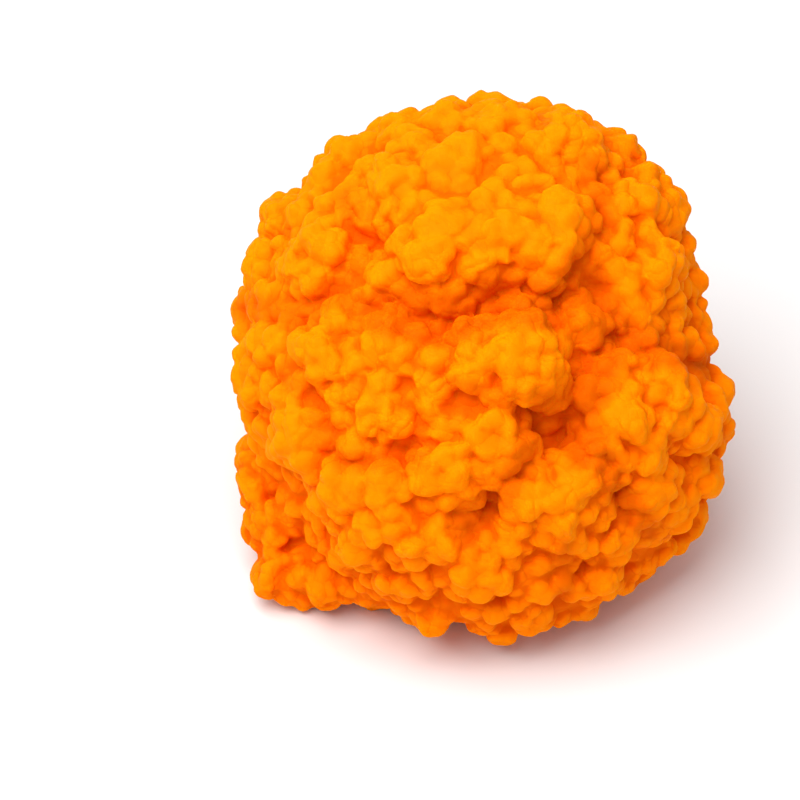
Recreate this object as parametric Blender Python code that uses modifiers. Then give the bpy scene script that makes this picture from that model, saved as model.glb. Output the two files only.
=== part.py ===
"""Golden ear fungus: one fruit body, a round head of crowded lobes that stands on its cut base.

Metres, +Z up. +X is to the right of the face and -Y towards the viewer. The origin is in the
middle of the cut base, on the surface that the head stands on.
"""

import itertools
import math
import random

import bmesh
import bpy
from mathutils import Euler, Matrix, Vector, noise

MM = 0.001

# The heart is the middle of the head. The face is the side that shows from FACE_ELEVATION above
# the horizon, a dome whose lobes are laid out square-on to that line of sight.
HEART = Vector((0.0, 2.0, 50.0)) * MM
FACE_ELEVATION = math.radians(42.0)
FACE_HALF_BREADTH = 61.0 * MM
FACE_HALF_RISE = 66.0 * MM
FACE_BULGE = 48.0 * MM

# The core fills the head behind the lobes and swells with them; the stump joins it to the base.
CORE_RISE = 0.8 * MM
CORE_SHRINK = 5.0 * MM
CORE_BLEND = 15.0 * MM
CORE_FACETS = 5
SWELL_REACH = 9.0 * MM
SWELL_EASE = 0.05
STUMP_CENTRE = Vector((0.0, 3.0, 14.0)) * MM
STUMP_RADII = Vector((31.0, 29.0, 18.0)) * MM

# Each lobe of the face: across and rise from the heart, radius, and how far it stands proud of
# the dome, in millimetres.
CROWN_LOBES = (
    (-38, 51, 6, -2), (-51, 36, 7.5, 0), (-55, 26, 7, 0), (-42.5, 27, 8, 2), (-40.5, 44, 7.5, -1),
    (-33, 52, 7, -2), (-32, 41, 6, 2), (-21, 57.5, 7, 0), (-11, 60, 6, 0), (-21, 42.5, 7.5, 3), (-8, 49, 7.5, 3),
    (4, 58, 8.5, 0), (-13, 31, 8.5, 5), (-1, 29, 6.5, 5), (-10.5, 19, 6, 0), (-33, 29.5, 5, -1),
    (-28, 24, 6, -1), (8, 32, 7, 4), (17.5, 34, 8, 5), (18, 54, 9, 1), (7, 45, 6.5, 2),
    (0, 39, 5.5, 3), (19.5, 44, 6, 1), (13, 22.5, 4.5, 3),
)
RIGHT_FLANK_LOBES = (
    (30, 47, 5, 1), (34, 52, 6, -2), (39.5, 45.5, 5.5, 0), (46, 37, 6.5, 0), (31.5, 39, 4.5, 0),
    (38, 37.5, 5, 1), (34, 31, 5, 0), (39.5, 29, 4.5, 0), (50, 29, 6, 0), (46, 22, 7.5, 3),
    (27, 26, 7, -1), (29.5, 16, 5.5, -1), (39, 18, 5, 1), (50, 13, 6, 0), (41, 9, 5, -1),
    (48, 8, 5.5, 0), (51, 3, 5.5, -1),
)
MIDDLE_LOBES = (
    (-29, 13, 8, 2), (-42, 13, 5, 1), (-48, 11, 4, 0), (-55, 16, 6, -2), (-54, 4.5, 6, 0),
    (-42, 2, 7, 4), (-25.5, 4, 8, 2), (-15.5, 6, 5, 1), (-17, -1, 6, 1), (-56, -7, 6.5, 3),
    (-49, -13, 7.5, 5), (-45.5, -24, 5.5, 5), (-36, -9, 6, 4), (-30, -9, 6, 4), (-23, -13, 5, 5),
    (-14, -9, 6, 3), (-34, -18, 6, 4), (-8, -5, 3.5, 4), (-27, -19, 5, 3), (-1, 1, 7, 6),
    (8, 1, 7.5, 7), (14.5, -4, 5.5, 5), (7, 11, 6.5, 2), (14.5, 10, 6.5, 2), (19.5, 17, 6, 1),
    (24.5, 9, 5.5, 2), (24.5, 2, 5.5, -2), (14, -11, 5.5, 1), (9.5, -17.5, 3, -1),
    (18, -20, 3.5, -4), (14.5, -22, 3, -3),
)
RIGHT_SHOULDER_LOBES = (
    (31, -2.5, 5.5, 1), (38, -2, 5.5, 1), (29, -10, 6, 3), (34.5, -12.5, 6.5, 5), (29.5, -21, 6.5, 5),
    (39.5, -20, 6.5, 6), (45, -9, 7.5, 5), (51, -15, 6, 4), (56, -5, 5, -2), (58, -12.5, 4.5, -3),
    (47, 0, 5.5, 0), (41, -31, 7, 3), (52, -29, 6, 1), (55, -31, 4, -1), (47, -35, 6, 2),
    (38, -39, 5, 1), (50, -41, 5.5, -2), (41, -47.5, 5.5, 0), (38, -54, 4.5, -2),
)
CHIN_LOBES = (
    (-35.5, -30, 6.5, 6), (-27, -31, 6.5, 7), (-30.5, -37.5, 6.5, 7), (-22, -35, 5, 6),
    (-39, -37, 5, 4), (-11, -27.5, 7, 7), (-8, -17.5, 5.5, 4), (-0.5, -12.5, 6, 4), (1, -21, 7, 6),
    (-17.5, -44.5, 5.5, 7), (-30, -46, 5, 4), (-14, -37.5, 5, 5), (-24, -53, 6, 3),
    (-15, -53, 5.5, 5), (-5, -52, 6, 7), (-4, -43, 5.5, 5), (-14, -61, 6, 3), (-1, -61, 7, 4),
    (8, -58, 5.5, 5), (11, -32.5, 6.5, 6), (22, -29, 6, 6), (18, -39, 6.5, 7), (9.5, -40, 5.5, 5),
    (24.5, -36, 5.5, 5), (31, -44, 6, 4), (26, -55, 7, 4), (13, -52, 6.5, 3), (14.5, -46, 5, 4),
    (-1, -33.5, 5.5, 2), (-16, -19, 5.5, 2), (33, -34, 5, -1),
)
# The foot is the small mass of lobes below the head's left side, in its shade.
FOOT_LOBES = (
    (-57, -43, 6, -6), (-57, -33, 6, -10),
    (-56, -25, 8, -14), (-48, -33, 6, -12), (-55, -38, 5, -10), (-48, -39, 5, -8), (-44, -46, 7, -6),
    (-56, -51, 5, -4), (-52, -56, 4, -3), (-44, -56, 6.5, -2), (-35, -53, 5, -6), (-29, -58, 5, -4),
)
FACE = CROWN_LOBES + RIGHT_FLANK_LOBES + MIDDLE_LOBES + RIGHT_SHOULDER_LOBES + CHIN_LOBES + FOOT_LOBES

# The valleys that part the face into masses: the corners of each valley's line, its half width and
# its depth, in millimetres.
VALLEYS = (
    (((-25.5, 12.5), (-11.7, 10), (3.2, 16), (16, 14)), 5.5, 9),
    (((16, 14), (21.5, 23.7), (28, 35), (26, 49)), 4, 5),
    (((21.5, 23.7), (30.7, 7.5), (38.2, 5), (53, 0)), 4.5, 7),
    (((30.7, 7.5), (24.5, -5), (18.2, -13.7), (23, -20)), 5, 8),
    (((13.2, -8.7), (9.7, -18.7), (3.2, -31.2), (-6.5, -38.7)), 4, 6),
    (((-18.2, -22.5), (-36, -23.7)), 3.5, 5),
    (((25.7, -21.2), (30.7, -31.2), (38.2, -38.7)), 4, 6),
    (((18.2, -45), (18.7, -56.2)), 3.5, 5),
    (((-61.7, 15), (-46.7, 12.5), (-37.2, 17.5), (-25.5, 12.5)), 4, 5),
    (((-35.5, 41.2), (-29.2, 28.7), (-37.2, 17.5)), 4, 4),
    (((-50, -2), (-44, -8), (-36, -23.7)), 3.5, 4),
    (((-10, -5), (6, -8)), 3, 4),
)

# Other lobes follow a spiral round the whole head: sunk between the others on the face, and
# full-sized on the back.
BACK_CENTRE = Vector((0.0, 4.0, 47.0)) * MM
BACK_RADII = Vector((53.0, 49.0, 43.0)) * MM
RULE_LOBES = 460
RULE_LOBE_RADIUS = (5.5 * MM, 7.5 * MM)
RULE_SINK = 3.6 * MM
RULE_STRAY = 0.035
# Rings of lobes under the head: how many, their ring's half-axes and height, and their radius.
SKIRT_RINGS = (
    (17, (43, 38, 10), 8.5),
    (13, (33, 29, 9), 8),
)
FLAT = Vector((1.0, 1.0, 0.0))

# Above the right shoulder the head's side is drawn in: how far up the face, over what height and
# how deep.
WAIST_RISE = 16.0 * MM
WAIST_HALF_HEIGHT = 34.0 * MM
WAIST_DEPTH = 8.0 * MM

# A lobe of the spiral belongs to the face where its direction leans this much towards the viewer.
FACE_LIMIT = 0.05
GOLDEN_ANGLE = math.pi * (3.0 - math.sqrt(5.0))
SEED = 12

# Lobes swell until they press on each other, and sink into the core; none comes nearer to the
# floor than the gap.
LOBE_SWELL = 1.3
LOBE_SINK = 3.4 * MM
LOBE_SQUASH = (0.9, 1.12)
LOBE_FACETS = 3
FLOOR_GAP = 1.0 * MM
FUSE_VOXEL = 1.0 * MM

# Knobs cover every lobe: balls wider than their spacing, sunk by a share of their radius.
KNOB_SPACING = 7.4 * MM
KNOB_RADIUS = (4.4 * MM, 5.4 * MM)
KNOB_SINK = 0.33

# Last of all, the whole skin is bent a little, so that no lobe stays a perfect ball.
WARP_SCALE = 8.0 * MM
WARP_DEPTH = 1.2 * MM
WARP_PHASES = (Vector((3.1, 7.7, 1.3)), Vector((12.4, 5.2, 9.6)), Vector((6.8, 15.3, 4.1)))
MOST_TRIANGLES = 11600

FLESH_COLOUR = (0.93, 0.30, 0.008, 1.0)
FLESH_ROUGHNESS = 0.5


def clear_scene():
    for obj in list(bpy.data.objects):
        bpy.data.objects.remove(obj)


def face_axes():
    """The face's own directions: across, up the face, and out towards the viewer."""
    sine, cosine = math.sin(FACE_ELEVATION), math.cos(FACE_ELEVATION)
    return Vector((1.0, 0.0, 0.0)), Vector((0.0, sine, cosine)), Vector((0.0, -cosine, sine))


def dome_depth(across, rise):
    """How far the face's dome bulges towards the viewer at this place."""
    reach = (across / FACE_HALF_BREADTH) ** 2 + (rise / FACE_HALF_RISE) ** 2
    return FACE_BULGE * math.sqrt(max(0.0, 1.0 - reach))


def face_point(across, rise, depth):
    side, up, out = face_axes()
    return HEART + across * side + rise * up + depth * out


def dome_normal(across, rise):
    """The way out of the face's dome at this place."""
    slope = (
        across / FACE_HALF_BREADTH**2, rise / FACE_HALF_RISE**2, dome_depth(across, rise) / FACE_BULGE**2,
    )
    side, up, out = face_axes()
    return (slope[0] * side + slope[1] * up + slope[2] * out).normalized()


def distance_to_line(point, start, end):
    along = end - start
    share = max(0.0, min(1.0, (point - start).dot(along) / along.length_squared))
    return (point - start - share * along).length


def valley_depth(across, rise):
    """How deep the valleys sink the face here: nothing beyond twice their half widths."""
    point = Vector((across, rise))
    deepest = 0.0
    for corners, half_width, depth in VALLEYS:
        corners = [Vector(corner) * MM for corner in corners]
        away = min(distance_to_line(point, *pair) for pair in zip(corners, corners[1:]))
        share = max(0.0, 1.0 - away / (2.0 * half_width * MM))
        deepest = max(deepest, depth * MM * share * share * (3.0 - 2.0 * share))
    return deepest


def swelling(across, rise):
    """How proud of the dome the lobes near this place stand, on average."""
    weights = total = 0.0
    for x, y, _, proud in FACE:
        away = math.hypot(across - x * MM, rise - y * MM) / SWELL_REACH
        weight = math.exp(-away * away)
        weights += weight
        total += weight * proud * MM
    return total / (weights + SWELL_EASE)


def face_lobe(across, rise, radius, proud, sink=LOBE_SINK):
    """A lobe of the face. It swells until it meets its neighbours, and sinks by as much."""
    swollen = radius * LOBE_SWELL
    depth = dome_depth(across, rise) - valley_depth(across, rise)
    centre = face_point(across, rise, depth + proud)
    centre -= (swollen - radius + sink) * dome_normal(across, rise)
    return off_the_floor(centre, swollen), swollen


def off_the_floor(centre, radius):
    """The same lobe, lifted where it would dip below the surface that the head stands on."""
    return Vector((centre.x, centre.y, max(centre.z, radius + FLOOR_GAP)))


def hand_placed_lobes():
    return [face_lobe(*(value * MM for value in lobe)) for lobe in FACE]


def lobes_by_rule(draw):
    side, up, out = face_axes()
    lobes = []
    for i in range(RULE_LOBES):
        height = 1.0 - 2.0 * (i + 0.5) / RULE_LOBES
        ring = math.sqrt(1.0 - height * height)
        turn = GOLDEN_ANGLE * i
        direction = Vector((ring * math.cos(turn), ring * math.sin(turn), height))
        direction += Vector(draw.gauss(0.0, RULE_STRAY) for _ in range(3))
        direction.normalize()
        radius = draw.uniform(*RULE_LOBE_RADIUS)
        if direction.dot(out) > FACE_LIMIT:
            across = direction.dot(side) * FACE_HALF_BREADTH
            rise = direction.dot(up) * FACE_HALF_RISE
            proud = swelling(across, rise)
            lobes.append(face_lobe(across, rise, radius / LOBE_SWELL, proud, RULE_SINK))
        else:
            lobes.append((off_the_floor(BACK_CENTRE + direction * BACK_RADII, radius), radius))
    return lobes


def skirt_lobes():
    """Rings of lobes that curl under the head, round the stump."""
    lobes = []
    for count, (across, along, height), radius in SKIRT_RINGS:
        for i in range(count):
            turn = math.tau * i / count
            place = Vector((across * math.cos(turn), along * math.sin(turn), height)) * MM
            lobes.append((STUMP_CENTRE * FLAT + place, radius * MM))
    return lobes


def add_core(bm):
    """The dome of the face, swelling and sinking with its lobes and valleys, and as round behind."""
    made = bmesh.ops.create_icosphere(bm, subdivisions=CORE_FACETS, radius=1.0)
    for vert in made["verts"]:
        across = vert.co.x * (FACE_HALF_BREADTH - CORE_SHRINK)
        rise = vert.co.y * (FACE_HALF_RISE - CORE_SHRINK)
        depth = vert.co.z * (FACE_BULGE + CORE_RISE)
        if depth > 0.0:
            relief = swelling(across, rise) - valley_depth(across, rise)
            depth += min(1.0, depth / CORE_BLEND) * relief
        vert.co = face_point(across, rise, depth)


def unit_ball(facets):
    bm = bmesh.new()
    bmesh.ops.create_icosphere(bm, subdivisions=facets, radius=1.0)
    ball = bpy.data.meshes.new("ball")
    bm.to_mesh(ball)
    bm.free()
    return ball


def add_ball(bm, ball, centre, radii, turn=Euler((0.0, 0.0, 0.0))):
    copy = ball.copy()
    copy.transform(Matrix.LocRotScale(centre, turn, radii))
    bm.from_mesh(copy)
    bpy.data.meshes.remove(copy)


def add_lobe(bm, ball, centre, radius, draw):
    """One lobe: a ball turned and squashed a little, so that no two are alike."""
    radii = Vector(draw.uniform(*LOBE_SQUASH) for _ in range(3)) * radius
    turn = Euler(draw.uniform(0.0, math.tau) for _ in range(3))
    add_ball(bm, ball, centre, radii, turn)


def new_object(name, mesh):
    obj = bpy.data.objects.new(name, mesh)
    group = bpy.data.collections.new("golden_ear_fungus")
    bpy.context.scene.collection.children.link(group)
    group.objects.link(obj)
    return obj


def apply_modifiers(obj):
    graph = bpy.context.evaluated_depsgraph_get()
    mesh = bpy.data.meshes.new_from_object(obj.evaluated_get(graph))
    obj.modifiers.clear()
    obj.data = mesh


def crowded_lobes(name, ball, draw):
    """Every lobe, the core and the stump, overlapping in one mesh."""
    bm = bmesh.new()
    add_core(bm)
    add_ball(bm, ball, BACK_CENTRE, BACK_RADII)
    add_ball(bm, ball, STUMP_CENTRE, STUMP_RADII)
    for centre, radius in hand_placed_lobes() + lobes_by_rule(draw) + skirt_lobes():
        add_lobe(bm, ball, centre, radius, draw)
    mesh = bpy.data.meshes.new(name)
    bm.to_mesh(mesh)
    bm.free()
    return new_object(name, mesh)


def fuse(obj):
    """One skin over everything that overlaps."""
    remesh = obj.modifiers.new("fuse", "REMESH")
    remesh.mode = "VOXEL"
    remesh.voxel_size = FUSE_VOXEL
    apply_modifiers(obj)


def shells(bm):
    """The separate closed skins of a mesh, as lists of vertices."""
    left = set(bm.verts)
    found = []
    while left:
        edge = [left.pop()]
        shell = list(edge)
        while edge:
            vert = edge.pop()
            for link in vert.link_edges:
                other = link.other_vert(vert)
                if other in left:
                    left.remove(other)
                    edge.append(other)
                    shell.append(other)
        found.append(shell)
    return found


def keep_outer_skin(obj):
    """Drops the small skins of hollows that fusing has sealed inside."""
    bm = bmesh.new()
    bm.from_mesh(obj.data)
    found = sorted(shells(bm), key=len)
    inner = [vert for shell in found[:-1] for vert in shell]
    bmesh.ops.delete(bm, geom=inner, context="VERTS")
    bm.to_mesh(obj.data)
    bm.free()


def draw_in_side(obj):
    """Pulls the right side inwards above the shoulder, most at the waist's own height."""
    side, up, _ = face_axes()
    for vert in obj.data.vertices:
        place = vert.co - HEART
        share = max(0.0, place.dot(side) / FACE_HALF_BREADTH)
        height = max(0.0, 1.0 - abs(place.dot(up) - WAIST_RISE) / WAIST_HALF_HEIGHT)
        vert.co.x -= WAIST_DEPTH * share * share * height * height * (3.0 - 2.0 * height)


def drift(point):
    """A smooth random push, the same for points that lie close together."""
    return Vector(noise.noise(point + phase) for phase in WARP_PHASES)


def warp(obj):
    for vert in obj.data.vertices:
        vert.co += WARP_DEPTH * drift(vert.co / WARP_SCALE)


def sow(points, spacing, draw):
    """Picks points at random, none nearer than the spacing to another, until no more fit."""
    order = list(range(len(points)))
    draw.shuffle(order)
    cells = {}
    seeds = []
    for i in order:
        point = points[i]
        cell = tuple(math.floor(value / spacing) for value in point)
        around = itertools.product(*((value - 1, value, value + 1) for value in cell))
        if all((point - seed).length > spacing for key in around for seed in cells.get(key, ())):
            cells.setdefault(cell, []).append(point)
            seeds.append(i)
    return seeds


def add_knobs(obj, ball, draw):
    """Adds a ball, partly sunk, at each of the places sown on the skin."""
    points = [vert.co.copy() for vert in obj.data.vertices]
    ways_out = [vert.normal.copy() for vert in obj.data.vertices]
    bm = bmesh.new()
    bm.from_mesh(obj.data)
    for i in sow(points, KNOB_SPACING, draw):
        radius = draw.uniform(*KNOB_RADIUS)
        add_lobe(bm, ball, points[i] - KNOB_SINK * radius * ways_out[i], radius, draw)
    bm.to_mesh(obj.data)
    bm.free()


def cut_base(obj):
    """Slices the stump flat where the head was cut off: everything below the origin goes."""
    bm = bmesh.new()
    bm.from_mesh(obj.data)
    everything = bm.verts[:] + bm.edges[:] + bm.faces[:]
    cut = bmesh.ops.bisect_plane(
        bm, geom=everything, plane_co=(0.0, 0.0, 0.0), plane_no=(0.0, 0.0, -1.0), clear_outer=True,
    )
    rim = [item for item in cut["geom_cut"] if isinstance(item, bmesh.types.BMEdge)]
    bmesh.ops.holes_fill(bm, edges=rim)
    bmesh.ops.triangulate(bm, faces=bm.faces[:])
    bm.to_mesh(obj.data)
    bm.free()


def thin_out(obj):
    """Fewer triangles, kept where the folds are."""
    thin = obj.modifiers.new("thin", "DECIMATE")
    thin.ratio = MOST_TRIANGLES / (2 * len(obj.data.polygons))
    apply_modifiers(obj)


def flesh():
    material = bpy.data.materials.new("golden flesh")
    material.use_nodes = True
    shader = material.node_tree.nodes["Principled BSDF"]
    shader.inputs["Base Color"].default_value = FLESH_COLOUR
    shader.inputs["Roughness"].default_value = FLESH_ROUGHNESS
    material.diffuse_color = FLESH_COLOUR
    return material


def build():
    clear_scene()
    draw = random.Random(SEED)
    ball = unit_ball(LOBE_FACETS)
    body = crowded_lobes("fruit_body", ball, draw)
    fuse(body)
    keep_outer_skin(body)
    draw_in_side(body)
    add_knobs(body, ball, draw)
    fuse(body)
    keep_outer_skin(body)
    warp(body)
    thin_out(body)
    cut_base(body)
    body.data.materials.append(flesh())
    body.data.shade_smooth()


build()
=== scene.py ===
# %% [markdown]
# # A golden ear fungus
#
# A golden ear grows as one head of soft, jelly-like flesh. It has no cap and no stem: the whole
# head is lobes, the lobes carry knobs, and the knobs are covered with buds. This lesson builds the
# head from the largest of these to the smallest, then gives it flesh, a table and some light.

# %% The frame
import itertools
import math
import random
import time

import bmesh
import bpy
import numpy as np
from mathutils import Euler, Matrix, Vector, noise


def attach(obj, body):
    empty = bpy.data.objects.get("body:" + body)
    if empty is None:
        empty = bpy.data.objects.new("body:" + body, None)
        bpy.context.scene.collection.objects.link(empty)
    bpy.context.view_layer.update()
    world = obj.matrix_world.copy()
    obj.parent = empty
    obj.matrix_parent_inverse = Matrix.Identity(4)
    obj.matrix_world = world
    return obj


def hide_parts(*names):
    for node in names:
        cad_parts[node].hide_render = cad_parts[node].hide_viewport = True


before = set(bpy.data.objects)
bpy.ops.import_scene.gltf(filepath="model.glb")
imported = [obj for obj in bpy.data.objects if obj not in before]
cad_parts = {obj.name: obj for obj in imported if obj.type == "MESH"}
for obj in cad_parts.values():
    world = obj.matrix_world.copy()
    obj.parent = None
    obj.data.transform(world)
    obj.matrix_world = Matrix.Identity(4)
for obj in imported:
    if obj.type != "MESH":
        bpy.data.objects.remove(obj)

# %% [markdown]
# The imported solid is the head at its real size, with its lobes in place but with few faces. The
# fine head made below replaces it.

MM = 0.001
started = time.time()
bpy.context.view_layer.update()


# %% [markdown]
# The head is seen from well above the table, and most of the work is placing lobes as they look
# from there. So the face of the head is treated as a dome that looks straight at the viewer, and
# a place on it is given by how far it is across, how far up the face, and how far out.

# %% The face of the head
HEART = Vector((0.0, 2.0, 50.0)) * MM
FACE_ELEVATION = math.radians(42.0)
ACROSS = Vector((1.0, 0.0, 0.0))
UP = Vector((0.0, math.sin(FACE_ELEVATION), math.cos(FACE_ELEVATION)))
OUT = Vector((0.0, -math.cos(FACE_ELEVATION), math.sin(FACE_ELEVATION)))

FACE_HALF_BREADTH = 61.0 * MM
FACE_HALF_RISE = 66.0 * MM
FACE_BULGE = 48.0 * MM


def face_point(across, rise, depth):
    return HEART + across * ACROSS + rise * UP + depth * OUT


def dome_depth(across, rise):
    reach = (across / FACE_HALF_BREADTH) ** 2 + (rise / FACE_HALF_RISE) ** 2
    return FACE_BULGE * math.sqrt(max(0.0, 1.0 - reach))


def dome_normal(across, rise):
    slope = Vector((
        across / FACE_HALF_BREADTH**2, rise / FACE_HALF_RISE**2, dome_depth(across, rise) / FACE_BULGE**2,
    ))
    return (slope.x * ACROSS + slope.y * UP + slope.z * OUT).normalized()


print("the face is", round(2.0 * FACE_HALF_BREADTH / MM), "by", round(2.0 * FACE_HALF_RISE / MM), "mm")

# %% [markdown]
# The head isn't one even dome. Valleys part it into masses that swell against each other, and the
# deepest ones, under the crown and beside the right shoulder, are dark slits. They could be carved
# out of the finished head, but then they would cut through lobes. So each valley is a line on the
# face, with its half width and its depth in millimetres, and it sinks whatever is placed near it.

# %% Valleys
VALLEYS = (
    (((-25.5, 12.5), (-11.7, 10), (3.2, 16), (16, 14)), 5.5, 9),
    (((16, 14), (21.5, 23.7), (28, 35), (26, 49)), 4, 5),
    (((21.5, 23.7), (30.7, 7.5), (38.2, 5), (53, 0)), 4.5, 7),
    (((30.7, 7.5), (24.5, -5), (18.2, -13.7), (23, -20)), 5, 8),
    (((13.2, -8.7), (9.7, -18.7), (3.2, -31.2), (-6.5, -38.7)), 4, 6),
    (((-18.2, -22.5), (-36, -23.7)), 3.5, 5),
    (((25.7, -21.2), (30.7, -31.2), (38.2, -38.7)), 4, 6),
    (((18.2, -45), (18.7, -56.2)), 3.5, 5),
    (((-61.7, 15), (-46.7, 12.5), (-37.2, 17.5), (-25.5, 12.5)), 4, 5),
    (((-35.5, 41.2), (-29.2, 28.7), (-37.2, 17.5)), 4, 4),
    (((-50, -2), (-44, -8), (-36, -23.7)), 3.5, 4),
    (((-10, -5), (6, -8)), 3, 4),
)


def distance_to_line(point, start, end):
    along = end - start
    share = max(0.0, min(1.0, (point - start).dot(along) / along.length_squared))
    return (point - start - share * along).length


def valley_depth(across, rise):
    point = Vector((across, rise))
    deepest = 0.0
    for corners, half_width, depth in VALLEYS:
        corners = [Vector(corner) * MM for corner in corners]
        away = min(distance_to_line(point, *pair) for pair in zip(corners, corners[1:]))
        share = max(0.0, 1.0 - away / (2.0 * half_width * MM))
        deepest = max(deepest, depth * MM * share * share * (3.0 - 2.0 * share))
    return deepest


print(len(VALLEYS), "valleys, the deepest", max(depth for _, _, depth in VALLEYS), "mm")

# %% [markdown]
# The camera looks along that line of sight. The head doesn't lie in the middle of the picture, so
# the camera aims a little to the left of it and below it. A long lens keeps the near lobes from
# looking swollen.

# %% The camera
FRAME_BREADTH = 200.0 * MM
CAMERA_AWAY = 1.5
SENSOR = 36.0
AIM_ACROSS = -21.75 * MM
AIM_RISE = -8.75 * MM

camera_data = bpy.data.cameras.new("camera")
camera_data.sensor_width = SENSOR
camera_data.lens = SENSOR * CAMERA_AWAY / FRAME_BREADTH
camera = bpy.data.objects.new("camera", camera_data)
camera.location = face_point(AIM_ACROSS, AIM_RISE, 0.0) + OUT * CAMERA_AWAY
camera.rotation_mode = "QUATERNION"
camera.rotation_quaternion = (-OUT).to_track_quat("-Z", "Y")
bpy.context.scene.collection.objects.link(camera)
bpy.context.scene.camera = camera
print("lens", round(camera_data.lens), "mm, from", CAMERA_AWAY, "m")

# %% [markdown]
# The lobes that show are placed one by one, each with its place across and up the face, its radius
# and how proud it stands, all in millimetres. A random scatter would be quicker, but the pattern
# of big and small lobes is what makes this head this one and not another. The upper half comes
# first.

# %% The lobes of the upper half
CROWN_LOBES = (
    (-38, 51, 6, -2), (-51, 36, 7.5, 0), (-55, 26, 7, 0), (-42.5, 27, 8, 2), (-40.5, 44, 7.5, -1),
    (-33, 52, 7, -2), (-32, 41, 6, 2), (-21, 57.5, 7, 0), (-11, 60, 6, 0), (-21, 42.5, 7.5, 3),
    (-8, 49, 7.5, 3), (4, 58, 8.5, 0), (-13, 31, 8.5, 5), (-1, 29, 6.5, 5), (-10.5, 19, 6, 0),
    (-33, 29.5, 5, -1), (-28, 24, 6, -1), (8, 32, 7, 4), (17.5, 34, 8, 5), (18, 54, 9, 1),
    (7, 45, 6.5, 2), (0, 39, 5.5, 3), (19.5, 44, 6, 1), (13, 22.5, 4.5, 3),
)
RIGHT_FLANK_LOBES = (
    (30, 47, 5, 1), (34, 52, 6, -2), (39.5, 45.5, 5.5, 0), (46, 37, 6.5, 0), (31.5, 39, 4.5, 0),
    (38, 37.5, 5, 1), (34, 31, 5, 0), (39.5, 29, 4.5, 0), (50, 29, 6, 0), (46, 22, 7.5, 3),
    (27, 26, 7, -1), (29.5, 16, 5.5, -1), (39, 18, 5, 1), (50, 13, 6, 0), (41, 9, 5, -1),
    (48, 8, 5.5, 0), (51, 3, 5.5, -1),
)
MIDDLE_LOBES = (
    (-29, 13, 8, 2), (-42, 13, 5, 1), (-48, 11, 4, 0), (-55, 16, 6, -2), (-54, 4.5, 6, 0),
    (-42, 2, 7, 4), (-25.5, 4, 8, 2), (-15.5, 6, 5, 1), (-17, -1, 6, 1), (-56, -7, 6.5, 3),
    (-49, -13, 7.5, 5), (-45.5, -24, 5.5, 5), (-36, -9, 6, 4), (-30, -9, 6, 4), (-23, -13, 5, 5),
    (-14, -9, 6, 3), (-34, -18, 6, 4), (-8, -5, 3.5, 4), (-27, -19, 5, 3), (-1, 1, 7, 6),
    (8, 1, 7.5, 7), (14.5, -4, 5.5, 5), (7, 11, 6.5, 2), (14.5, 10, 6.5, 2), (19.5, 17, 6, 1),
    (24.5, 9, 5.5, 2), (24.5, 2, 5.5, -2), (14, -11, 5.5, 1), (9.5, -17.5, 3, -1),
    (18, -20, 3.5, -4), (14.5, -22, 3, -3),
)
UPPER_LOBES = CROWN_LOBES + RIGHT_FLANK_LOBES + MIDDLE_LOBES
print(len(UPPER_LOBES), "lobes in the upper half")

# %% [markdown]
# The lower half has the swollen right shoulder, the chin that hangs over the table, and the foot.
# The foot's lobes lie in the chin's shade, so they are set well back.

# %% The lobes of the lower half
RIGHT_SHOULDER_LOBES = (
    (31, -2.5, 5.5, 1), (38, -2, 5.5, 1), (29, -10, 6, 3), (34.5, -12.5, 6.5, 5), (29.5, -21, 6.5, 5),
    (39.5, -20, 6.5, 6), (45, -9, 7.5, 5), (51, -15, 6, 4), (56, -5, 5, -2), (58, -12.5, 4.5, -3),
    (47, 0, 5.5, 0), (41, -31, 7, 3), (52, -29, 6, 1), (55, -31, 4, -1), (47, -35, 6, 2),
    (38, -39, 5, 1), (50, -41, 5.5, -2), (41, -47.5, 5.5, 0), (38, -54, 4.5, -2),
)
CHIN_LOBES = (
    (-35.5, -30, 6.5, 6), (-27, -31, 6.5, 7), (-30.5, -37.5, 6.5, 7), (-22, -35, 5, 6),
    (-39, -37, 5, 4), (-11, -27.5, 7, 7), (-8, -17.5, 5.5, 4), (-0.5, -12.5, 6, 4), (1, -21, 7, 6),
    (-17.5, -44.5, 5.5, 7), (-30, -46, 5, 4), (-14, -37.5, 5, 5), (-24, -53, 6, 3),
    (-15, -53, 5.5, 5), (-5, -52, 6, 7), (-4, -43, 5.5, 5), (-14, -61, 6, 3), (-1, -61, 7, 4),
    (8, -58, 5.5, 5), (11, -32.5, 6.5, 6), (22, -29, 6, 6), (18, -39, 6.5, 7), (9.5, -40, 5.5, 5),
    (24.5, -36, 5.5, 5), (31, -44, 6, 4), (26, -55, 7, 4), (13, -52, 6.5, 3), (14.5, -46, 5, 4),
    (-1, -33.5, 5.5, 2), (-16, -19, 5.5, 2), (33, -34, 5, -1),
)
FOOT_LOBES = (
    (-57, -43, 6, -6), (-57, -33, 6, -10),
    (-56, -25, 8, -14), (-48, -33, 6, -12), (-55, -38, 5, -10), (-48, -39, 5, -8), (-44, -46, 7, -6),
    (-56, -51, 5, -4), (-52, -56, 4, -3), (-44, -56, 6.5, -2), (-35, -53, 5, -6), (-29, -58, 5, -4),
)
LOWER_LOBES = RIGHT_SHOULDER_LOBES + CHIN_LOBES + FOOT_LOBES
FACE_LOBES = UPPER_LOBES + LOWER_LOBES
print(len(LOWER_LOBES), "lobes in the lower half")

# %% [markdown]
# Lobes press against each other. So each one is swollen until it meets its neighbours, and sunk
# into the dome by as much, which keeps its top where it was placed. The average of how proud the
# lobes stand near a place is needed too, so that whatever fills the gaps swells with them.

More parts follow.
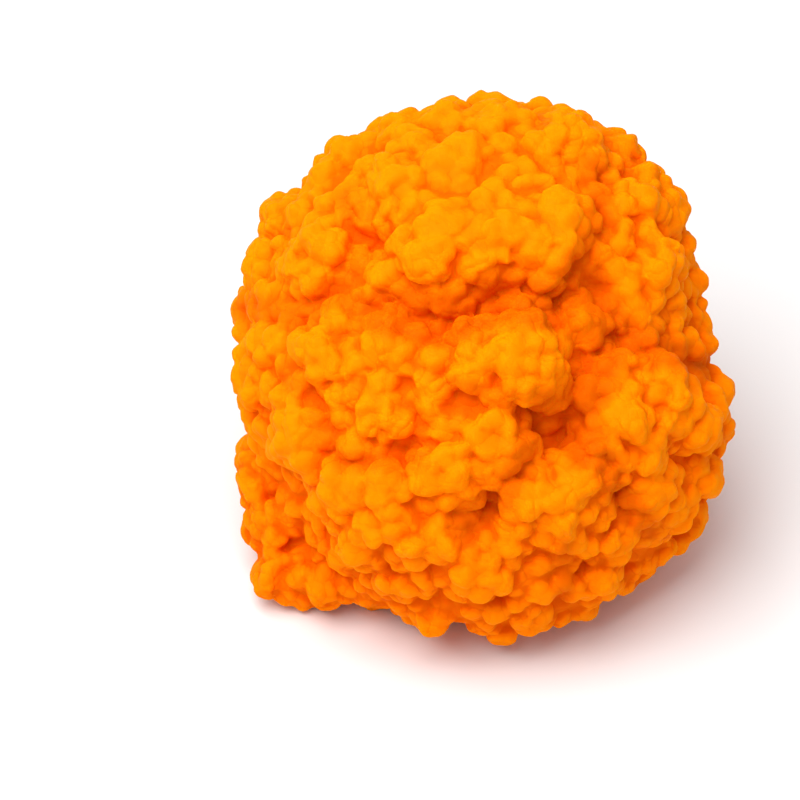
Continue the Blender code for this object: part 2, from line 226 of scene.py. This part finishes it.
# %% Swollen lobes
LOBE_SWELL = 1.3
LOBE_SINK = 3.4 * MM
SWELL_REACH = 9.0 * MM
SWELL_EASE = 0.05
FLOOR_GAP = 1.0 * MM


def off_the_floor(centre, radius):
    return Vector((centre.x, centre.y, max(centre.z, radius + FLOOR_GAP)))


def face_lobe(across, rise, radius, proud, sink=LOBE_SINK):
    swollen = radius * LOBE_SWELL
    depth = dome_depth(across, rise) - valley_depth(across, rise)
    centre = face_point(across, rise, depth + proud)
    centre -= (swollen - radius + sink) * dome_normal(across, rise)
    return off_the_floor(centre, swollen), swollen


def swelling(across, rise):
    weights = total = 0.0
    for x, y, _, proud in FACE_LOBES:
        away = math.hypot(across - x * MM, rise - y * MM) / SWELL_REACH
        weight = math.exp(-away * away)
        weights += weight
        total += weight * proud * MM
    return total / (weights + SWELL_EASE)


shown_lobes = [face_lobe(*(value * MM for value in lobe)) for lobe in FACE_LOBES]
print(len(shown_lobes), "lobes placed by hand")

# %% [markdown]
# The back can't be seen, and neither can the gaps between the big lobes, well enough to place them
# one by one. There a rule does it: points on a golden spiral spread evenly over a ball, as seeds
# do on a sunflower, and a seeded random draw nudges each one. In front the rule's lobes are sunk,
# so that they only fill gaps.

# %% The lobes placed by rule
BACK_CENTRE = Vector((0.0, 4.0, 47.0)) * MM
BACK_RADII = Vector((53.0, 49.0, 43.0)) * MM
RULE_LOBES = 460
RULE_LOBE_RADIUS = (5.5 * MM, 7.5 * MM)
RULE_SINK = 3.6 * MM
RULE_STRAY = 0.035
GOLDEN_ANGLE = math.pi * (3.0 - math.sqrt(5.0))
FACE_LIMIT = 0.05
SEED = 12
draw = random.Random(SEED)


def spiral_direction(i, count):
    height = 1.0 - 2.0 * (i + 0.5) / count
    ring = math.sqrt(1.0 - height * height)
    turn = GOLDEN_ANGLE * i
    return Vector((ring * math.cos(turn), ring * math.sin(turn), height))


rule_lobes = []
for i in range(RULE_LOBES):
    direction = spiral_direction(i, RULE_LOBES)
    direction += Vector(draw.gauss(0.0, RULE_STRAY) for _ in range(3))
    direction.normalize()
    radius = draw.uniform(*RULE_LOBE_RADIUS)
    if direction.dot(OUT) <= FACE_LIMIT:
        rule_lobes.append((off_the_floor(BACK_CENTRE + direction * BACK_RADII, radius), radius))
        continue
    across = direction.dot(ACROSS) * FACE_HALF_BREADTH
    rise = direction.dot(UP) * FACE_HALF_RISE
    rule_lobes.append(face_lobe(across, rise, radius / LOBE_SWELL, swelling(across, rise), RULE_SINK))
print(len(rule_lobes), "lobes placed by rule")

# %% [markdown]
# Under the head, lobes curl in towards the stump where the head was cut from its log. Two rings
# of them, one inside the other, are enough for a side that is nearly always hidden. Each ring has
# its count, its reach in three directions and the radius of its lobes.

# %% The lobes under the head
STUMP_CENTRE = Vector((0.0, 3.0, 14.0)) * MM
STUMP_RADII = Vector((31.0, 29.0, 18.0)) * MM
SKIRT_RINGS = (
    (17, (43, 38, 10), 8.5),
    (13, (33, 29, 9), 8),
)
FLAT = Vector((1.0, 1.0, 0.0))

skirt_lobes = []
for count, (across, along, height), radius in SKIRT_RINGS:
    for i in range(count):
        turn = math.tau * i / count
        place = Vector((across * math.cos(turn), along * math.sin(turn), height)) * MM
        skirt_lobes.append((STUMP_CENTRE * FLAT + place, radius * MM))
print(len(skirt_lobes), "lobes under the head")

# %% [markdown]
# Every lobe starts as the same ball, turned and squashed at random so that no two are alike.
# Metaballs would melt together by themselves, but they lose the creases that this flesh has.
# Copying one ready ball into the mesh is far quicker than asking for a new ball each time.

# %% A ball to copy
LOBE_SQUASH = (0.9, 1.12)
LOBE_FACETS = 3
NO_TURN = Euler((0.0, 0.0, 0.0))


def unit_ball(facets):
    bm = bmesh.new()
    bmesh.ops.create_icosphere(bm, subdivisions=facets, radius=1.0)
    ball = bpy.data.meshes.new("ball")
    bm.to_mesh(ball)
    bm.free()
    return ball


ball = unit_ball(LOBE_FACETS)


def add_ball(bm, centre, radii, turn=NO_TURN):
    copy = ball.copy()
    copy.transform(Matrix.LocRotScale(centre, turn, radii))
    bm.from_mesh(copy)
    bpy.data.meshes.remove(copy)


def add_lobe(bm, centre, radius):
    radii = Vector(draw.uniform(*LOBE_SQUASH) for _ in range(3)) * radius
    turn = Euler(draw.uniform(0.0, math.tau) for _ in range(3))
    add_ball(bm, centre, radii, turn)


print("a ball of", len(ball.polygons), "faces")

# %% [markdown]
# A core fills the head behind the lobes, so that the gaps between them have a bottom. It is the
# dome of the face, drawn in a little, and it swells and sinks with the lobes and the valleys. All
# of it goes into one heap of overlapping balls.

# %% The heap of lobes
CORE_RISE = 0.8 * MM
CORE_SHRINK = 5.0 * MM
CORE_BLEND = 15.0 * MM
CORE_FACETS = 5


def add_core(bm):
    made = bmesh.ops.create_icosphere(bm, subdivisions=CORE_FACETS, radius=1.0)
    for vert in made["verts"]:
        across = vert.co.x * (FACE_HALF_BREADTH - CORE_SHRINK)
        rise = vert.co.y * (FACE_HALF_RISE - CORE_SHRINK)
        depth = vert.co.z * (FACE_BULGE + CORE_RISE)
        if depth > 0.0:
            depth += min(1.0, depth / CORE_BLEND) * (swelling(across, rise) - valley_depth(across, rise))
        vert.co = face_point(across, rise, depth)


heap = bmesh.new()
add_core(heap)
add_ball(heap, BACK_CENTRE, BACK_RADII)
add_ball(heap, STUMP_CENTRE, STUMP_RADII)
for centre, radius in shown_lobes + rule_lobes + skirt_lobes:
    add_lobe(heap, centre, radius)
heap_mesh = bpy.data.meshes.new("golden_head")
heap.to_mesh(heap_mesh)
heap.free()
head = bpy.data.objects.new("golden_head", heap_mesh)
bpy.context.scene.collection.objects.link(head)
print("a heap of balls with", len(heap_mesh.polygons), "faces")

# %% [markdown]
# Living flesh has one skin. Blender's Remesh modifier in voxel mode wraps one skin over all that
# overlaps, where a boolean union of so many balls would be slow and would leave slivers. Small
# hollows can be sealed inside, so only the largest skin is kept: every point takes the lowest
# number found among its neighbours, again and again, until each skin has one number.

# %% One skin
FIRST_VOXEL = 1.0 * MM


def apply_modifiers(obj):
    graph = bpy.context.evaluated_depsgraph_get()
    old = obj.data
    applied = bpy.data.meshes.new_from_object(obj.evaluated_get(graph))
    obj.modifiers.clear()
    obj.data = applied
    bpy.data.meshes.remove(old)


def edge_ends(mesh):
    flat = np.empty(len(mesh.edges) * 2, np.int32)
    mesh.edges.foreach_get("vertices", flat)
    return flat.reshape(-1, 2)


def outer_skin_only(obj):
    ends = edge_ends(obj.data)
    label = np.arange(len(obj.data.vertices))
    settled = False
    while not settled:
        lowest = np.minimum(label[ends[:, 0]], label[ends[:, 1]])
        before = label.copy()
        np.minimum.at(label, ends[:, 0], lowest)
        np.minimum.at(label, ends[:, 1], lowest)
        label = label[label]
        settled = (label == before).all()
    inner = np.flatnonzero(label != np.bincount(label).argmax())
    bm = bmesh.new()
    bm.from_mesh(obj.data)
    bm.verts.ensure_lookup_table()
    bmesh.ops.delete(bm, geom=[bm.verts[i] for i in inner], context="VERTS")
    bm.to_mesh(obj.data)
    bm.free()


def skin_over(obj, voxel):
    remesh = obj.modifiers.new("skin", "REMESH")
    remesh.mode = "VOXEL"
    remesh.voxel_size = voxel
    apply_modifiers(obj)
    outer_skin_only(obj)
    print(round(time.time() - started, 1), "s: a skin of", len(obj.data.polygons), "faces")


skin_over(head, FIRST_VOXEL)

# %% [markdown]
# Above the right shoulder the head's side is drawn in, as if a belt passed there. Moving the
# finished skin is simpler than placing every lobe anew.

# %% The drawn-in side
WAIST_RISE = 16.0 * MM
WAIST_HALF_HEIGHT = 34.0 * MM
WAIST_DEPTH = 8.0 * MM


def waist(point):
    place = point - HEART
    share = max(0.0, place.dot(ACROSS) / FACE_HALF_BREADTH)
    height = max(0.0, 1.0 - abs(place.dot(UP) - WAIST_RISE) / WAIST_HALF_HEIGHT)
    return WAIST_DEPTH * share * share * height * height * (3.0 - 2.0 * height)


drawn_in = 0.0
for vert in head.data.vertices:
    step = waist(vert.co)
    vert.co.x -= step
    drawn_in = max(drawn_in, step)
print("the side is drawn in by up to", round(drawn_in / MM, 1), "mm")

# %% [markdown]
# Lobes that are perfect balls look like a bag of marbles. Smooth noise bends the whole skin, so
# that no lobe stays round. Three readings of the same noise, far enough apart to have nothing in
# common, give the three directions. The same bending is used again later, at smaller sizes.

# %% Bending the lobes
BEND_PHASES = (Vector((36.2, 21.7, 35.0)), Vector((45.5, 19.2, 43.3)), Vector((39.9, 29.3, 37.8)))
LOBE_BEND_SCALE = 11.0 * MM
LOBE_BEND = 3.2 * MM


def drift(point):
    return Vector(noise.noise(point + phase) for phase in BEND_PHASES)


def bend(mesh, scale, depth):
    for vert in mesh.vertices:
        vert.co += depth * drift(vert.co / scale)
    mesh.update()
    print("bent by noise", round(scale / MM, 1), "mm wide, up to about", round(depth / MM, 1), "mm")


bend(head.data, LOBE_BEND_SCALE, LOBE_BEND)

# %% [markdown]
# The knobs cover every lobe with no pattern that the eye can follow. Seeds are sown all over the
# skin: its points are taken in random order, and one becomes a seed if no other seed is nearer
# than the spacing. A grid of cells as wide as the spacing keeps the search short.

# %% Sowing seeds on a skin
def places(mesh):
    flat = np.empty(len(mesh.vertices) * 3, np.float32)
    mesh.vertices.foreach_get("co", flat)
    return flat.reshape(-1, 3)


def ways_out(mesh):
    flat = np.empty(len(mesh.vertices) * 3, np.float32)
    mesh.vertex_normals.foreach_get("vector", flat)
    return flat.reshape(-1, 3)


def sow(mesh, spacing):
    points = [Vector(place) for place in places(mesh).tolist()]
    order = list(range(len(points)))
    draw.shuffle(order)
    cells = {}
    seeds = []
    for i in order:
        point = points[i]
        cell = tuple(math.floor(value / spacing) for value in point)
        around = itertools.product(*((value - 1, value, value + 1) for value in cell))
        if all((point - seed).length > spacing for key in around for seed in cells.get(key, ())):
            cells.setdefault(cell, []).append(point)
            seeds.append(i)
    return seeds


print("points to sow on:", len(places(head.data)))

# %% [markdown]
# The head isn't equally knobbly all over. The crown is smoother than the chin, and other smooth
# patches come and go. One number says how calm the skin is at a place, from 0 for the roughest to
# 1 for the smoothest.

# %% Calm and rough patches
PATCH_SCALE = 22.0 * MM
CROWN_ACROSS = -5.0 * MM
CROWN_RISE = 42.0 * MM
CROWN_REACH = 34.0 * MM
CALM_EVERYWHERE = 0.35
CALM_CROWN = 0.7
CALM_PATCHES = 0.6


def calmness(point):
    place = point - HEART
    across = place.dot(ACROSS) - CROWN_ACROSS
    rise = place.dot(UP) - CROWN_RISE
    crown = max(0.0, 1.0 - math.hypot(across, rise) / CROWN_REACH)
    patches = CALM_PATCHES * noise.noise(point / PATCH_SCALE)
    return max(0.0, min(1.0, CALM_EVERYWHERE + CALM_CROWN * crown + patches))


print("calm on the crown:", round(calmness(face_point(CROWN_ACROSS, CROWN_RISE, 0.0)), 2))

# %% [markdown]
# The knobs themselves are as big as small peas. They are real balls, sunk a good way into the skin
# and wider than their spacing, so they meet in narrow creases and leave no bare ground, which is
# how knobs of soft flesh press together. Where the skin is calm they are sunk deeper. A finer skin
# then goes over them, and two small bends take away what is left of the balls.

# %% Knobs
KNOB_SPACING = 4.6 * MM
KNOB_RADIUS = (3.3 * MM, 4.4 * MM)
ROUGH_SINK = 0.42
CALM_SINK = 0.68
KNOB_VOXEL = 0.45 * MM
KNOB_BENDS = ((8.0 * MM, 1.2 * MM), (3.5 * MM, 0.6 * MM))


def add_knobs(obj):
    knobs = bmesh.new()
    knobs.from_mesh(obj.data)
    skin_places = places(obj.data)
    skin_normals = ways_out(obj.data)
    seeds = sow(obj.data, KNOB_SPACING)
    for i in seeds:
        radius = draw.uniform(*KNOB_RADIUS)
        seed = Vector(skin_places[i])
        sink = ROUGH_SINK + (CALM_SINK - ROUGH_SINK) * calmness(seed)
        add_lobe(knobs, seed - sink * radius * Vector(skin_normals[i]), radius)
    knobs.to_mesh(obj.data)
    knobs.free()
    print(round(time.time() - started, 1), "s:", len(seeds), "knobs")


add_knobs(head)
skin_over(head, KNOB_VOXEL)
for scale, depth in KNOB_BENDS:
    bend(head.data, scale, depth)

# %% [markdown]
# Nodes are easier to read as sums than as wires. This small class holds a node's output and lets
# Python's own operators add the nodes, so that a formula is written as one line. It serves the
# node group that shapes the mesh as well as the ones that colour it. A Mix node has sockets of
# the same name for numbers and for colours, so those for colours are called by their place.

# %% Sums of sockets
MIX_SHARE = 0
MIX_DARK = 6
MIX_LIGHT = 7
MIX_COLOUR = 2


class Wire:
    tree = None

    def __init__(self, socket):
        self.socket = socket

    @classmethod
    def node(cls, kind, settings=None, sockets=None, output=0):
        made = cls.tree.nodes.new(kind)
        for name, value in (settings or {}).items():
            setattr(made, name, value)
        for name, value in (sockets or {}).items():
            cls.feed(made.inputs[name], value)
        return cls(made.outputs[output])

    @classmethod
    def feed(cls, socket, value):
        if isinstance(value, Wire):
            cls.tree.links.new(value.socket, socket)
        else:
            socket.default_value = value

    @staticmethod
    def joined(operation, first, second):
        wires = [item for item in (first, second) if isinstance(item, Wire)]
        if any(wire.socket.type in ("RGBA", "VECTOR") for wire in wires):
            return Wire.node("ShaderNodeVectorMath", {"operation": operation}, {0: first, 1: second})
        return Wire.node("ShaderNodeMath", {"operation": operation}, {0: first, 1: second})

    def __add__(self, other):
        return self.joined("ADD", self, other)

    def __radd__(self, other):
        return self.joined("ADD", other, self)

    def __sub__(self, other):
        return self.joined("SUBTRACT", self, other)

    def __rsub__(self, other):
        return self.joined("SUBTRACT", other, self)

    def __mul__(self, other):
        return self.joined("MULTIPLY", self, other)

    def __rmul__(self, other):
        return self.joined("MULTIPLY", other, self)

    def ramp(self, low, high):
        return Wire.node("ShaderNodeMapRange", {"interpolation_type": "SMOOTHSTEP"}, {
            "Value": self, "From Min": low, "From Max": high,
        })

    def between(self, dark, light):
        return Wire.node("ShaderNodeMix", {"data_type": "RGBA"}, {
            MIX_SHARE: self, MIX_DARK: dark, MIX_LIGHT: light,
        }, MIX_COLOUR)


print("a wire can be added, subtracted, multiplied, ramped and used to mix two colours")

# %% [markdown]
# The knobs are covered with buds, each about as wide as a peppercorn. A Voronoi texture has a
# middle for every bud and gives the distance to the nearest one. The square of that distance,
# turned over, is a dome, and where two domes meet they leave a narrow crease. Noise sways the
# places first, because straight-sided cells look like a turtle's shell.

# %% The shape of a bud
BUDS_A_METRE = 260.0
SWAY_SCALE = 120.0
SWAY_DETAIL = 1.0
SWAY = 5.0 * MM
CALMEST = 0.7
MIDDLE_GREY = (0.5, 0.5, 0.5)


def swayed(place):
    sway = Wire.node("ShaderNodeTexNoise", None, {
        "Vector": place, "Scale": SWAY_SCALE, "Detail": SWAY_DETAIL,
    }, "Color")
    return place + (sway - MIDDLE_GREY) * (SWAY, SWAY, SWAY)


def bud_dome(place, calm):
    middle = Wire.node("ShaderNodeTexVoronoi", None, {
        "Vector": swayed(place), "Scale": BUDS_A_METRE,
    }, "Distance")
    return (CALMEST * calm - 1.0) * middle * middle


print("a bud is about", round(1.0 / BUDS_A_METRE / MM, 1), "mm wide")

# %% [markdown]
# The buds run into the thousands, too many to sow one by one, so the texture moves the skin. A small
# group of geometry nodes reads it at every point and sinks the skin along its normal, and less so
# where the skin is calm. The flesh's bump uses the same texture later, to keep the creases sharper than
# the mesh alone could.

# %% Buds
BUD_HEIGHT = 0.6 * MM


def store(mesh, name, values):
    attribute = mesh.attributes.get(name) or mesh.attributes.new(name, "FLOAT", "POINT")
    attribute.data.foreach_set("value", values.astype(np.float32))


def store_calm(mesh):
    store(mesh, "calm", np.array([calmness(vert.co) for vert in mesh.vertices]))


store_calm(head.data)
buds = bpy.data.node_groups.new("buds", "GeometryNodeTree")
buds.interface.new_socket("Skin", in_out="INPUT", socket_type="NodeSocketGeometry")
buds.interface.new_socket("Skin", in_out="OUTPUT", socket_type="NodeSocketGeometry")
Wire.tree = buds
calm = Wire.node("GeometryNodeInputNamedAttribute", {"data_type": "FLOAT"}, {"Name": "calm"}, "Attribute")
dome = bud_dome(Wire.node("GeometryNodeInputPosition"), calm)
step = Wire.node("GeometryNodeInputNormal") * (BUD_HEIGHT * dome)
skin = Wire.node("NodeGroupInput")
budded = Wire.node("GeometryNodeSetPosition", None, {"Geometry": skin, "Offset": step})
Wire.feed(buds.nodes.new("NodeGroupOutput").inputs["Skin"], budded)

before = places(head.data)
head.modifiers.new("buds", "NODES").node_group = buds
apply_modifiers(head)
moved = np.linalg.norm(places(head.data) - before, axis=1)
print("buds up to", round(float(moved.max()) / MM, 2), "mm high")

# %% [markdown]
# The skin now has far more faces than it needs. Decimate merges them where the surface is nearly
# flat and keeps them in the creases. Then everything below the table top is sliced away, which
# leaves the flat scar where the head was cut off.

# %% Thinning and the cut base
MOST_TRIANGLES = 196000
TRIANGLES_A_FACE = 2


def cut_base(obj):
    bm = bmesh.new()
    bm.from_mesh(obj.data)
    everything = bm.verts[:] + bm.edges[:] + bm.faces[:]
    cut = bmesh.ops.bisect_plane(
        bm, geom=everything, plane_co=(0.0, 0.0, 0.0), plane_no=(0.0, 0.0, -1.0), clear_outer=True,
    )
    rim = [item for item in cut["geom_cut"] if isinstance(item, bmesh.types.BMEdge)]
    bmesh.ops.holes_fill(bm, edges=rim)
    bmesh.ops.triangulate(bm, faces=bm.faces[:])
    bm.to_mesh(obj.data)
    bm.free()


thin = head.modifiers.new("thin", "DECIMATE")
thin.ratio = MOST_TRIANGLES / (TRIANGLES_A_FACE * len(head.data.polygons))
apply_modifiers(head)
cut_base(head)
head.data.shade_smooth()
print(round(time.time() - started, 1), "s:", len(head.data.polygons), "triangles")

# %% [markdown]
# Flesh this colour looks redder in its creases and yellower on its tops, because light that bounces
# between two orange walls loses its green first. The renderer does much of that by itself, and the
# flesh's colour adds painted shade, darker and redder, in the creases and painted light, yellower,
# on the tops. For that the mesh has to know which of its points stand out. A copy of the skin is
# smoothed a little, and again a lot, and each point's height over the two copies is stored as a
# share.

# %% What stands out
BUD_ROUNDS = 14
KNOB_ROUNDS = 112
LOWEST_PERCENT = 4
HIGHEST_PERCENT = 92
HALF = 0.5


def spread(values, ends, rounds):
    count = len(values)
    degree = np.bincount(ends.ravel(), minlength=count).astype(np.float64)
    for _ in range(rounds):
        total = np.stack([
            np.bincount(ends[:, 0], values[ends[:, 1], axis], count)
            + np.bincount(ends[:, 1], values[ends[:, 0], axis], count)
            for axis in range(values.shape[1])
        ], axis=1)
        values = HALF * values + HALF * total / degree[:, None]
    return values


def as_share(values):
    low, high = np.percentile(values, (LOWEST_PERCENT, HIGHEST_PERCENT))
    return np.clip((values - low) / (high - low), 0.0, 1.0)


points = places(head.data).astype(np.float64)
ends = edge_ends(head.data)
smoothed = spread(points, ends, BUD_ROUNDS)
bud_tops = ((points - smoothed) * ways_out(head.data)).sum(axis=1)
smoother = spread(smoothed, ends, KNOB_ROUNDS)
knob_tops = ((points - smoother) * ways_out(head.data)).sum(axis=1)
store(head.data, "bud_top", as_share(bud_tops))
store(head.data, "knob_top", as_share(knob_tops))
usual_top = float(np.percentile(knob_tops, HIGHEST_PERCENT))
print("the tops of the knobs stand out by about", round(usual_top / MM, 1), "mm")

# %% [markdown]
# The bottoms of the valleys get painted shade, the darkest and reddest colour of all. The lines that
# sank the lobes at the start say where they are, on the side that faces the viewer. How calm the
# skin is has to be stored again, because its points are new since the thinning.

# %% What lies deep
DEEP_VALLEY = 8.0 * MM


def valley_share(point):
    place = point - HEART
    if place.dot(OUT) < 0.0:
        return 0.0
    return min(1.0, valley_depth(place.dot(ACROSS), place.dot(UP)) / DEEP_VALLEY)


valley_shares = np.array([valley_share(vert.co) for vert in head.data.vertices])
store(head.data, "deep", valley_shares)
store_calm(head.data)
in_valleys = round(100.0 * float((valley_shares > 0.0).mean()))
print(round(time.time() - started, 1), "s:", in_valleys, "% of the points lie in valleys")

# %% [markdown]
# The flesh is a soft, matt jelly. Its colour goes from red-orange painted shade in the creases over
# plain orange on the sides to yellow-orange painted light on the tops, and a mask made of the stored
# shares says where each point stands. Painted shade is darkest at the bottoms of the valleys. A
# little noise mottles it, painted shade reddens the seams between the buds, and more painted shade
# darkens it towards the bottom, near the table. The scar underneath is pale. All these are painted
# by formula, because a picture would have seams on a shape like this.

# %% The colour of the flesh
# The first colour is painted light on the tops, the second the plain orange, the third painted shade in
# the creases and the fourth painted shade in the valleys.
PAINTED_TOP_LIGHT = (1.0, 0.228, 0.0003, 1.0)
SIDE = (0.97, 0.195, 0.0003, 1.0)
PAINTED_CREASE_SHADE = (0.80, 0.12, 0.0003, 1.0)
PAINTED_VALLEY_SHADE = (0.66, 0.088, 0.0003, 1.0)
CUT = (0.90, 0.62, 0.20, 1.0)
MOTTLE_SCALE = 90.0
MOTTLE_DETAIL = 3.0
SEAM_SHADE_WIDTH = 0.12
LOW_SHADE_HEIGHTS = (10.0 * MM, 60.0 * MM)
BUD_TOP_SHARE = 0.3
KNOB_TOP_SHARE = 0.7
MOTTLE_SHARE = 0.25
SEAM_SHADE_SHARE = 0.1
LOW_SHADE_SHARE = 0.32
BRIGHTEST = 0.9
VALLEY_SHADE_SHARE = 0.75
VALLEY_SHADE_RANGE = (0.1, 0.8)
CUT_HEIGHTS = (0.1 * MM, 0.4 * MM)
CUT_FACING = (0.9, 0.98)


def new_material(name):
    material = bpy.data.materials.new(name)
    material.use_nodes = True
    Wire.tree = material.node_tree
    return material, material.node_tree.nodes["Principled BSDF"]


def stored(name):
    return Wire.node("ShaderNodeAttribute", {"attribute_name": name}, output="Fac")


def upward(vector):
    return Wire.node("ShaderNodeSeparateXYZ", None, {"Vector": vector}, "Z")


flesh, flesh_shader = new_material("golden flesh")
place = Wire.node("ShaderNodeTexCoord", output="Object")
mottle = Wire.node("ShaderNodeTexNoise", None, {
    "Vector": place, "Scale": MOTTLE_SCALE, "Detail": MOTTLE_DETAIL,
})
# Painted shade along the thin creases between the buds.
to_seam = Wire.node("ShaderNodeTexVoronoi", {"feature": "DISTANCE_TO_EDGE"}, {
    "Vector": swayed(place), "Scale": BUDS_A_METRE,
}, "Distance")
seam_shade = 1.0 - to_seam.ramp(0.0, SEAM_SHADE_WIDTH)
height = upward(place)
# Painted shade: the flesh is darker towards the bottom, standing in for the shade under the head.
low = 1.0 - height.ramp(*LOW_SHADE_HEIGHTS)

# Painted light on the points that stand out and painted shade in the creases, mixed from the stored
# shares.
stands_out = BUD_TOP_SHARE * stored("bud_top") + KNOB_TOP_SHARE * stored("knob_top")
painted_light_share = stands_out + (mottle - HALF) * MOTTLE_SHARE - SEAM_SHADE_SHARE * seam_shade - LOW_SHADE_SHARE * low
painted_light_share = painted_light_share.ramp(0.0, BRIGHTEST)
colour = painted_light_share.ramp(0.0, HALF).between(PAINTED_CREASE_SHADE, SIDE)
colour = painted_light_share.ramp(HALF, 1.0).between(colour, PAINTED_TOP_LIGHT)
# Painted shade at the bottoms of the valleys.
colour = (VALLEY_SHADE_SHARE * stored("deep").ramp(*VALLEY_SHADE_RANGE)).between(colour, PAINTED_VALLEY_SHADE)
facing_down = -1.0 * upward(Wire.node("ShaderNodeNewGeometry", output="Normal"))
cut = (1.0 - height.ramp(*CUT_HEIGHTS)) * facing_down.ramp(*CUT_FACING)
Wire.feed(flesh_shader.inputs["Base Color"], cut.between(colour, CUT))
print("the colour takes", len(flesh.node_tree.nodes), "nodes")

# %% [markdown]
# Light sinks a few millimetres into such flesh and comes out redder, which is what subsurface
# scattering does. Too much of it would wash the creases out, so it has half the weight. The skin
# hardly shines, and only a fine grain and the buds' creases, by bump, are left to add.

# %% The flesh itself
ROUGHNESS = 0.62
TOP_SMOOTHER = 0.12
SOAK = 0.5
SOAK_COLOURS = (1.0, 0.4, 0.06)
SOAK_DEPTH = 2.0 * MM
SHINE = 0.01
JELLY_IOR = 1.4
GRAIN_SCALE = 900.0
GRAIN_DETAIL = 3.0
GRAIN_STRENGTH = 0.25
GRAIN_HEIGHT = 0.3 * MM
CREASE_HEIGHT = 1.1 * MM

Wire.feed(flesh_shader.inputs["Roughness"], ROUGHNESS - TOP_SMOOTHER * painted_light_share)
flesh_shader.inputs["Subsurface Weight"].default_value = SOAK
flesh_shader.inputs["Subsurface Radius"].default_value = SOAK_COLOURS
flesh_shader.inputs["Subsurface Scale"].default_value = SOAK_DEPTH
flesh_shader.inputs["Specular IOR Level"].default_value = SHINE
flesh_shader.inputs["IOR"].default_value = JELLY_IOR

grain = Wire.node("ShaderNodeTexNoise", None, {
    "Vector": place, "Scale": GRAIN_SCALE, "Detail": GRAIN_DETAIL,
})
relief = Wire.node("ShaderNodeBump", None, {
    "Height": grain, "Strength": GRAIN_STRENGTH, "Distance": GRAIN_HEIGHT,
})
creases = bud_dome(place, stored("calm"))
relief = Wire.node("ShaderNodeBump", None, {
    "Height": creases, "Strength": 1.0, "Distance": CREASE_HEIGHT, "Normal": relief,
})
Wire.feed(flesh_shader.inputs["Normal"], relief)
head.data.materials.clear()
head.data.materials.append(flesh)

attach(head, "root")
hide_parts("fruit_body")
print("the flesh takes", len(flesh.node_tree.nodes), "nodes in all")

# %% [markdown]
# The head stands on a plain pale table that has no edge in sight. A trace of noise in its paint
# keeps it from looking like a blank.

# %% The table
TABLE_HALF = 3.0
TABLE_DARK = (0.78, 0.78, 0.78, 1.0)
TABLE_LIGHT = (0.81, 0.81, 0.81, 1.0)
TABLE_ROUGHNESS = 0.75
DUST_ROUGHNESS = 0.1
DUST_SCALE = 40.0
DUST_DETAIL = 4.0
DUST_STRENGTH = 0.05
DUST_HEIGHT = 0.2 * MM

table_mesh = bpy.data.meshes.new("table")
bm = bmesh.new()
bmesh.ops.create_grid(bm, x_segments=1, y_segments=1, size=TABLE_HALF)
bm.to_mesh(table_mesh)
bm.free()
table = bpy.data.objects.new("table", table_mesh)
bpy.context.scene.collection.objects.link(table)
table_paint, table_shader = new_material("pale table")
dust = Wire.node("ShaderNodeTexNoise", None, {"Scale": DUST_SCALE, "Detail": DUST_DETAIL})
dusty = Wire.node("ShaderNodeBump", None, {
    "Height": dust, "Strength": DUST_STRENGTH, "Distance": DUST_HEIGHT,
})
Wire.feed(table_shader.inputs["Base Color"], dust.between(TABLE_DARK, TABLE_LIGHT))
Wire.feed(table_shader.inputs["Roughness"], TABLE_ROUGHNESS + DUST_ROUGHNESS * dust)
Wire.feed(table_shader.inputs["Normal"], dusty)
table_mesh.materials.append(table_paint)
print("the table is", 2.0 * TABLE_HALF, "m wide")

# %% [markdown]
# The light is a white room with one large soft lamp overhead, a little to the left and in front,
# so that the right side and the underside fall away gently and the creases stay readable. The
# plain "Standard" view keeps the orange as strong as it is, where a filmic one would fade it.

# %% The light
ROOM_COLOUR = (1.0, 1.0, 1.0, 1.0)
ROOM = 0.55
LAMP_PLACE = (-0.26, -0.24, 0.93)
LAMP_SIZE = 0.90
LAMP_POWER = 13.5

world = bpy.data.worlds.new("white room")
world.use_nodes = True
background = world.node_tree.nodes["Background"]
background.inputs["Color"].default_value = ROOM_COLOUR
background.inputs["Strength"].default_value = ROOM
bpy.context.scene.world = world

lamp = bpy.data.lights.new("key", "AREA")
lamp.size = LAMP_SIZE
lamp.energy = LAMP_POWER
lamp_object = bpy.data.objects.new("key", lamp)
lamp_object.location = LAMP_PLACE
lamp_object.rotation_mode = "QUATERNION"
lamp_object.rotation_quaternion = (HEART - lamp_object.location).to_track_quat("-Z", "Y")
bpy.context.scene.collection.objects.link(lamp_object)
bpy.context.scene.view_settings.view_transform = "Standard"
bpy.context.scene.view_settings.look = "None"
print("one lamp", round((HEART - lamp_object.location).length, 2), "m from the head")
